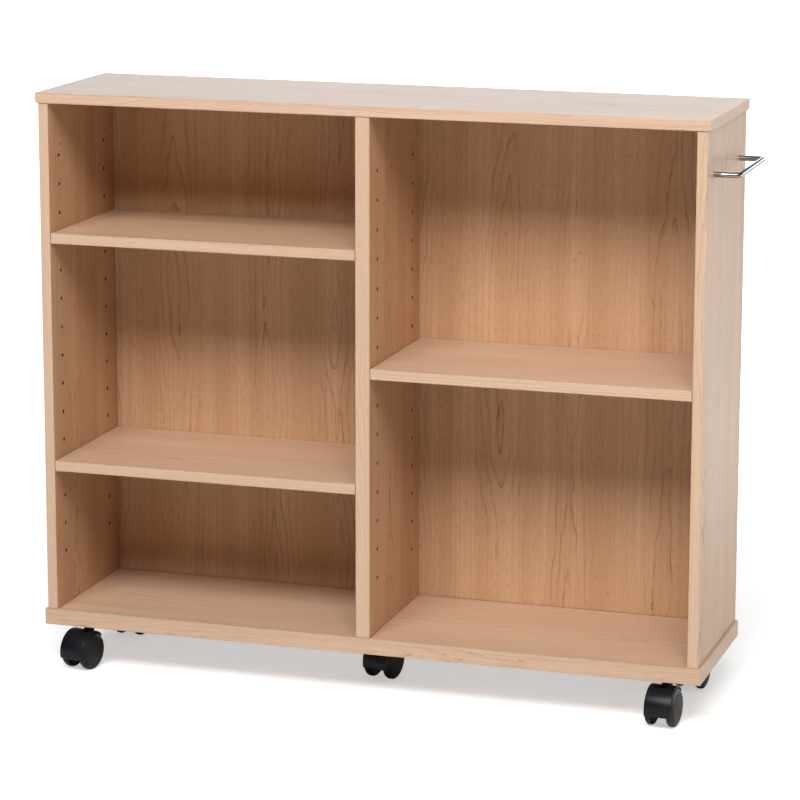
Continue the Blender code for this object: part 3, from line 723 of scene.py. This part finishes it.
def moulded_hood():
    """The hood's mesh, with its origin on the swivel axis at floor level and its nose at -Y."""
    outline = []
    for angle in range(COVER_FROM, COVER_TO + 1, COVER_STEP):
        a = math.radians(angle)
        outline.append((-HOOD_R * math.cos(a) - TRAIL, HOOD_R * math.sin(a) + WHEEL_R))
    outline.append((outline[-1][0], HOUSING_LOW))
    outline.append((TAIL_HALF - TRAIL, TAIL_LOW))
    outline.append((-TAIL_HALF - TRAIL, TAIL_LOW))
    shape = bmesh.new()
    left = [shape.verts.new((-HOOD_HALF, y, z)) for y, z in outline]
    right = [shape.verts.new((HOOD_HALF, y, z)) for y, z in outline]
    shape.faces.new(left)
    shape.faces.new(right[::-1])
    for i in range(len(outline)):
        j = (i + 1) % len(outline)
        shape.faces.new((left[i], left[j], right[j], right[i]))
    bmesh.ops.recalc_face_normals(shape, faces=shape.faces)
    block = new_object("hood_block", mesh_of(shape, "hood_block"))
    soft = block.modifiers.new("rounded edges", "BEVEL")
    soft.width = EDGE_ROUND
    soft.segments = 4
    soft.limit_method = "ANGLE"
    soft.angle_limit = math.radians(30)
    neck_top = BOARD_UNDERSIDE - CLEARANCE - FLANGE - CLEARANCE
    neck_half = (neck_top - HOUSING_LOW) / 2
    neck_middle = (0, 0, HOUSING_LOW + neck_half)
    neck = cylinder("hood_neck", neck_middle, (0, 0, 1), NECK_R, 2 * neck_half, 48)
    helpers = [neck]
    cut(block, neck, "UNION")
    for sign in (-1, 1):
        middle = (sign * (WEB_HALF + HOOD_HALF), -TRAIL, WHEEL_R)
        room = cylinder(f"hood_room_{sign}", middle, (1, 0, 0), WHEEL_ROOM_R, 2 * HOOD_HALF, 128)
        helpers.append(room)
    axle = (0, -TRAIL, WHEEL_R)
    helpers.append(cylinder("axle_bore", axle, (1, 0, 0), AXLE_BORE_R, 2 * HOOD_HALF, 32))
    stem_low = HOUSING_LOW + STEM_SEAT - CLEARANCE
    stem = (0, 0, stem_low + STEM_BORE_LENGTH / 2)
    helpers.append(cylinder("stem_bore", stem, (0, 0, 1), STEM_BORE_R, STEM_BORE_LENGTH, 32))
    for helper in helpers[1:]:
        cut(block, helper, "DIFFERENCE")
    made = cut_mesh(block, helpers)
    made.name = "caster_hood_fine"
    return smooth(made, 35)


hood_mesh = moulded_hood()
for caster in CASTERS:
    swivel_at, axle_at, turn = caster_place(caster)
    base = Matrix.Translation((swivel_at.x, swivel_at.y, 0)) @ Matrix.Rotation(turn, 4, "Z")
    node = f"caster_{caster}_hood"
    body = f"caster_{caster}_swivel"
    add_piece(node + "_fine", hood_mesh.copy(), HOOD_NYLON, base, body, node)
print("hood faces:", len(hood_mesh.polygons))

# %% [markdown]
# ## The pull handle
# The handle is one steel rod bent twice and screwed on from inside. A curve with a round bevel
# gives the rod in one go, but its corners must keep the bend radius, so the route is written
# out: straight leg, quarter circle, long grip, quarter circle, straight leg.

# %% Bend the handle
ROD = 0.0045  # the rod's radius
ROD_SIDES = 40
BEND = 0.008  # the radius of a bend, to the rod's middle
BEND_STEPS = 12
handle_low, handle_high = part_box("handle_bar")
grip_x = handle_high.x - ROD
leg_y = (handle_low.y + ROD, handle_high.y - ROD)
rod_z = (handle_low.z + handle_high.z) / 2


def bent_rod():
    route = [Vector((handle_low.x, leg_y[0], rod_z))]
    quarter = [math.pi / 2 * i / BEND_STEPS for i in range(BEND_STEPS + 1)]
    for a in quarter:
        x, y = grip_x - BEND * (1 - math.sin(a)), leg_y[0] + BEND * (1 - math.cos(a))
        route.append(Vector((x, y, rod_z)))
    for a in quarter:
        x, y = grip_x - BEND * (1 - math.cos(a)), leg_y[1] - BEND * (1 - math.sin(a))
        route.append(Vector((x, y, rod_z)))
    route.append(Vector((handle_low.x, leg_y[1], rod_z)))
    shape = bmesh.new()
    upwards = Vector((0, 0, 1))
    rings = []
    for i, point in enumerate(route):
        ahead = route[min(i + 1, len(route) - 1)] - route[max(i - 1, 0)]
        sideways = ahead.normalized().cross(upwards)
        ring = []
        for k in range(ROD_SIDES):
            a = 2 * math.pi * k / ROD_SIDES
            spoke = math.cos(a) * sideways + math.sin(a) * upwards
            ring.append(shape.verts.new(point + ROD * spoke))
        rings.append(ring)
    for first, second in zip(rings, rings[1:]):
        for k in range(ROD_SIDES):
            j = (k + 1) % ROD_SIDES
            shape.faces.new((first[k], first[j], second[j], second[k]))
    shape.faces.new(rings[0][::-1])
    shape.faces.new(rings[-1])
    bmesh.ops.recalc_face_normals(shape, faces=shape.faces)
    return smooth(mesh_of(shape, "handle_rod"), 50)


in_place = Matrix.Identity(4)
add_piece("handle_rod", bent_rod(), POLISHED, in_place, "cabinet", "handle_bar")
print("handle from", [round(v, 4) for v in handle_low], "to", [round(v, 4) for v in handle_high])

# %% [markdown]
# ## Pins and screws
# The shelves rest on plain steel pins, and the handle and the bottom panel are held by
# screws. They are small, but a close view shows the pins' rounded ends and the recess in a
# screw head. A recess could be a dark patch in the material, but a real hollow is right from
# every side, so a cross is cut into the handle's screws and a hexagon into the frame's. The
# thread is a row of rings in the outline: at this size nobody can tell it from a spiral.

# %% Turn the pins
def body_of(node):
    for body, members in frame["record"]["behaviour"]["bodies"].items():
        if node in members:
            return body
    raise KeyError(node)


def add_zinc(node, mesh, turn_to=Matrix.Identity(4)):
    """Puts a mesh that is turned about X over a zinc-plated CAD node, middle on middle."""
    low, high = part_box(node)
    where = Matrix.Translation((low + high) / 2) @ turn_to
    add_piece(node + "_fine", mesh, ZINC, where, body_of(node), node)


PIN_HALF = 0.017 / 2
PIN_R, PIN_ROUND = 0.0025, 0.0007
pin_outline = [(PIN_HALF, 0)]
pin_outline += arc(PIN_HALF - PIN_ROUND, PIN_R - PIN_ROUND, PIN_ROUND, 0, 90, 4)
pin_outline += arc(-PIN_HALF + PIN_ROUND, PIN_R - PIN_ROUND, PIN_ROUND, 90, 180, 4)
pin_outline += [(-PIN_HALF, 0)]
pin_mesh = turned("shelf_pin_fine", pin_outline, 28)
for shelf in ("shelf_upper_left", "shelf_lower_left", "shelf_right"):
    for number in range(1, 5):
        add_zinc(f"{shelf}_pin_{number}", pin_mesh.copy())
print("pin faces:", len(pin_mesh.polygons))

# %% Turn the handle's screws and cut a cross into their heads
def cut_away(mesh, helpers):
    """The mesh with the helpers' shapes cut out of it."""
    target = new_object("blank", mesh)
    for helper in helpers:
        cut(target, helper, "DIFFERENCE")
    made = cut_mesh(target, helpers)
    made.set_sharp_from_angle(angle=math.radians(38))
    return made


CROSS_LONG, CROSS_THIN, CROSS_DEEP = 0.0044, 0.0009, 0.0024
HEAD_R, HEAD_LENGTH, HEAD_ROUND = 0.0042, 0.0024, 0.0016
SHANK_R = 0.002
screw_low, screw_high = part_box("handle_screw_front")
end = (screw_high.x - screw_low.x) / 2
screw_outline = [(-end, 0), (-end, 0.0022)]
screw_outline += arc(-end + HEAD_ROUND, HEAD_R - HEAD_ROUND, HEAD_ROUND, 180, 90, 4)
screw_outline += [(-end + HEAD_LENGTH, HEAD_R), (-end + HEAD_LENGTH, SHANK_R), (end, SHANK_R)]
screw_outline += [(end, 0)]
cross = []
for name, size in (
    ("cross_a", (CROSS_DEEP, CROSS_LONG, CROSS_THIN)),
    ("cross_b", (CROSS_DEEP, CROSS_THIN, CROSS_LONG)),
):
    shape = bmesh.new()
    bmesh.ops.create_cube(shape, size=1.0)
    bmesh.ops.scale(shape, vec=Vector(size), verts=shape.verts)
    bmesh.ops.translate(shape, vec=Vector((-end, 0, 0)), verts=shape.verts)
    cross.append(new_object(name, mesh_of(shape, name)))
cross_screw = cut_away(turned("handle_screw_fine", screw_outline, 32), cross)
for place in ("front", "rear"):
    add_zinc("handle_screw_" + place, cross_screw.copy())
print("handle screw faces:", len(cross_screw.polygons))

# %% Turn the frame screws, with their thread and hexagon socket
BODY_R, THREAD_ROOT_R, TIP_R = 0.0035, 0.0027, 0.0017
FRAME_HEAD_R, CHAMFER = 0.005, 0.0004
THREAD_TURNS = 11
frame_low, frame_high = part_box("frame_screw_left_front")
end = (frame_high.z - frame_low.z) / 2
frame_outline = [(-end, 0), (-end, FRAME_HEAD_R - CHAMFER), (-end + CHAMFER, FRAME_HEAD_R)]
frame_outline += [(-end + 0.0018, FRAME_HEAD_R), (-end + 0.0022, BODY_R)]
thread_start, thread_end = -end + 0.012, end - 0.0035
frame_outline += [(thread_start, BODY_R)]
step = (thread_end - thread_start) / THREAD_TURNS
for i in range(THREAD_TURNS):
    x = thread_start + step * i
    frame_outline += [(x + 0.35 * step, THREAD_ROOT_R), (x + 0.6 * step, BODY_R)]
    frame_outline += [(x + step, BODY_R)]
frame_outline += [(end, TIP_R), (end, 0)]
hexagon = cylinder("hexagon", (-end, 0, 0), (1, 0, 0), 0.0024, 0.004, 6)
frame_screw = cut_away(turned("frame_screw_fine", frame_outline, 32), [hexagon])
upright_screw = Matrix.Rotation(-math.pi / 2, 4, "Y")
for upright in ("left", "middle", "right"):
    for place in ("front", "rear"):
        add_zinc(f"frame_screw_{upright}_{place}", frame_screw.copy(), upright_screw)
print("frame screw faces:", len(frame_screw.polygons))

# %% [markdown]
# ## Hidden hardware
# The axles, stems and inserts hardly show, and their CAD shapes are right as they are. Finer
# pieces would cost time and show nothing, so they only get their metals.

# %% Dress the hidden hardware
for caster in CASTERS:
    dress(f"caster_{caster}_axle", ZINC)
    dress(f"caster_{caster}_stem", ZINC)
    dress(f"caster_{caster}_insert", BRASS)
print("metals on the axles, stems and inserts of", len(CASTERS), "casters")

# %% [markdown]
# ## The floor
# The photograph is a studio picture on white. A sheet of pale paper could be curved up behind
# the unit, but the unit is looked at from all sides, so the floor is flat and very wide, and
# the paper far behind it gives off some light. The camera is shown the paper a little paler
# than its shadow makes it, which keeps the picture white and leaves the light on the boards
# as it is.

# %% Lay the floor
FLOOR_HALF = 80.0
FLOOR_GLOW = 0.6  # light given off by the paper far behind the unit
GLOW_FROM, GLOW_TO = 0.2, 2.2  # where the glow starts and is full, along Y
FLOOR_LIFT, FLOOR_LIFT_AFAR = 0.48, 0.9  # how much paler the camera sees the paper
NEAR, AFAR = 2.5, 7.0
PAPER_DARK, PAPER_LIGHT = (0.8, 0.8, 0.8, 1.0), (0.83, 0.83, 0.83, 1.0)
corners = [(-1, -1), (1, -1), (1, 1), (-1, 1)]
floor_mesh = bpy.data.meshes.new("studio_floor")
floor_mesh.from_pydata(
    [(x * FLOOR_HALF, y * FLOOR_HALF, 0.0) for x, y in corners], [], [(0, 1, 2, 3)]
)
floor = new_object("studio_floor", floor_mesh)
paper, tree, surface = new_material("studio_paper")
place = put(tree, "ShaderNodeTexCoord").outputs["Object"]
paper_colour = mix(tree, noise(tree, place, 40.0, detail=3.0), PAPER_DARK, PAPER_LIGHT)
tree.links.new(paper_colour, surface.inputs["Base Color"])
surface.inputs["Roughness"].default_value = 0.9
surface.inputs["Specular IOR Level"].default_value = 0.0
surface.inputs["Emission Color"].default_value = (1.0, 1.0, 1.0, 1.0)
far_glow = ramp(tree, split(tree, place)[1], GLOW_FROM, GLOW_TO, 0.0, FLOOR_GLOW)
away = vector_sum(tree, "LENGTH", place)
lift = ramp(tree, away, NEAR, AFAR, FLOOR_LIFT, FLOOR_LIFT_AFAR)
seen = put(tree, "ShaderNodeLightPath").outputs["Is Camera Ray"]
glow = sum_of(tree, "ADD", far_glow, times(tree, seen, lift))
tree.links.new(glow, surface.inputs["Emission Strength"])
floor_mesh.materials.append(paper)
floor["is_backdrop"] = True
print("floor:", 2 * FLOOR_HALF, "m wide")

# %% [markdown]
# ## The light
# A wide soft box stands in front, high and a little to the right. It leaves a broad soft
# shadow in the upper part of each bay. Two small boxes lift the right side, one from above
# and one from beside. The wall behind is bright low down: the satin top mirrors it at a flat
# angle, and the handle mirrors both the wall and the dark above it. A picture of a real
# studio could light the scene too, but soft boxes and a plain wall can be read and changed.
# The camera sees the wall white all the way up.

# %% Light the studio
WALL_STRENGTH = 2.9
WALL_TOP = (0.14, 0.19)  # the wall ends at this height of the direction's Z, softly
ABOVE_WALL = 0.05  # what is left of its light above that
CEILING_FROM, CEILING_TO = 0.6, 0.95
ROOM_STRENGTH, CEILING_STRENGTH = 0.015, 0.22
WALL_COLOUR = (0.88, 1.0, 1.1, 1.0)
BACKDROP = 1.2  # how bright the camera sees the wall
world = bpy.data.worlds.new("studio_walls")
world.use_nodes = True
bpy.context.scene.world = world
sky = world.node_tree
x, y, z = split(sky, put(sky, "ShaderNodeTexCoord").outputs["Generated"])
towards_wall = sum_of(sky, "MULTIPLY_ADD", x, 0.5, times(sky, y, 0.87))
behind = ramp(sky, towards_wall, 0.0, 0.7)
low_down = ramp(sky, z, *WALL_TOP, 1.0, ABOVE_WALL)
ceiling = ramp(sky, z, CEILING_FROM, CEILING_TO, ROOM_STRENGTH, CEILING_STRENGTH)
wall = times(sky, behind, low_down)
strength = sum_of(sky, "MULTIPLY_ADD", wall, WALL_STRENGTH, ceiling)
seen = put(sky, "ShaderNodeLightPath").outputs["Is Camera Ray"]
strength = sum_of(sky, "MAXIMUM", strength, times(sky, seen, BACKDROP))
background = sky.nodes["Background"]
background.inputs["Color"].default_value = WALL_COLOUR
sky.links.new(strength, background.inputs["Strength"])


def soft_box(name, at, look_at, size, power, colour=(1.0, 1.0, 1.0)):
    """A square lamp of a size in metres and a power in watts that faces a point."""
    lamp = bpy.data.lights.new(name, "AREA")
    lamp.shape = "RECTANGLE"
    lamp.size, lamp.size_y = size
    lamp.energy = power
    lamp.color = colour
    holder = new_object(name, lamp)
    holder.location = at
    aim = Vector(look_at) - Vector(at)
    holder.rotation_euler = aim.to_track_quat("-Z", "Y").to_euler()
    print(name, round(aim.length, 2), "m away,", power, "W")


WARM, NEARLY_WHITE = (1.0, 0.98, 0.8), (1.0, 0.98, 0.97)
soft_box("key_box", (0.36, -4.88, 5.47), (0.0, 0.0, 0.75), (5.6, 2.4), 544.0)
soft_box("right_box", (1.48, -1.24, 2.34), (0.0, 0.0, 0.6), (1.2, 1.0), 12.5, WARM)
soft_box("side_box", (2.4, 0.9, 0.25), (0.55, 0.05, 0.3), (1.5, 0.8), 11.0, NEARLY_WHITE)
bpy.context.scene.view_settings.view_transform = "Standard"

# %% [markdown]
# ## The camera
# The camera is a long lens, placed where the edges of the top and bottom panels say that it
# stood. It could be set by eye, but the straight edges of a cabinet fix it far better. Its
# place is given in widths of the cabinet. The picture's middle lies below the lens's, so the
# lens is shifted a little.

# %% Set up the camera
PICTURE = 800  # the picture's width and height in pixels
FOCAL = 3181.4  # the lens's focal length in pixels
CENTRE_ROW = 321.5  # the row of the picture that the lens points at
# in widths: from the left front corner, and up from the bottom panel's underside
RIGHT, FORWARD, UP = 1.8969, 4.2138, 1.3645
DOWN_TILT, ROLL, SWING = 11.12, -0.078, 17.659  # degrees
SENSOR = 36.0
camera = new_object("camera", bpy.data.cameras.new("camera"))
bpy.context.scene.camera = camera
cabinet_low, cabinet_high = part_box("top_panel")
width = cabinet_high.x - cabinet_low.x
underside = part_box("bottom_panel")[0].z
camera.location = (
    cabinet_low.x + RIGHT * width,
    cabinet_low.y - FORWARD * width,
    underside + UP * width,
)
camera.rotation_euler = [math.radians(angle) for angle in (90 - DOWN_TILT, ROLL, SWING)]
camera.data.sensor_width = SENSOR
camera.data.lens = FOCAL * SENSOR / PICTURE
camera.data.shift_y = (CENTRE_ROW - PICTURE / 2) / PICTURE
camera.data.clip_end = 200.0
print("lens", round(camera.data.lens, 1), "mm, at", [round(v, 3) for v in camera.location])

# %% [markdown]
# ## Finish
# The finer pieces must stay inside the CAD model's box. Both boxes are measured, and how far
# the finer pieces reach past the CAD box is printed, so the two can be compared after each
# render. Measuring by hand in the viewport would do once, but not after every change.

# %% Print the sizes and finish
import json

new_low, new_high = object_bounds()
pairs = zip((*cad_low, *cad_high), (*new_low, *new_high))
print("grown by", [round((after - before) * 1000, 3) for before, after in pairs], "mm")
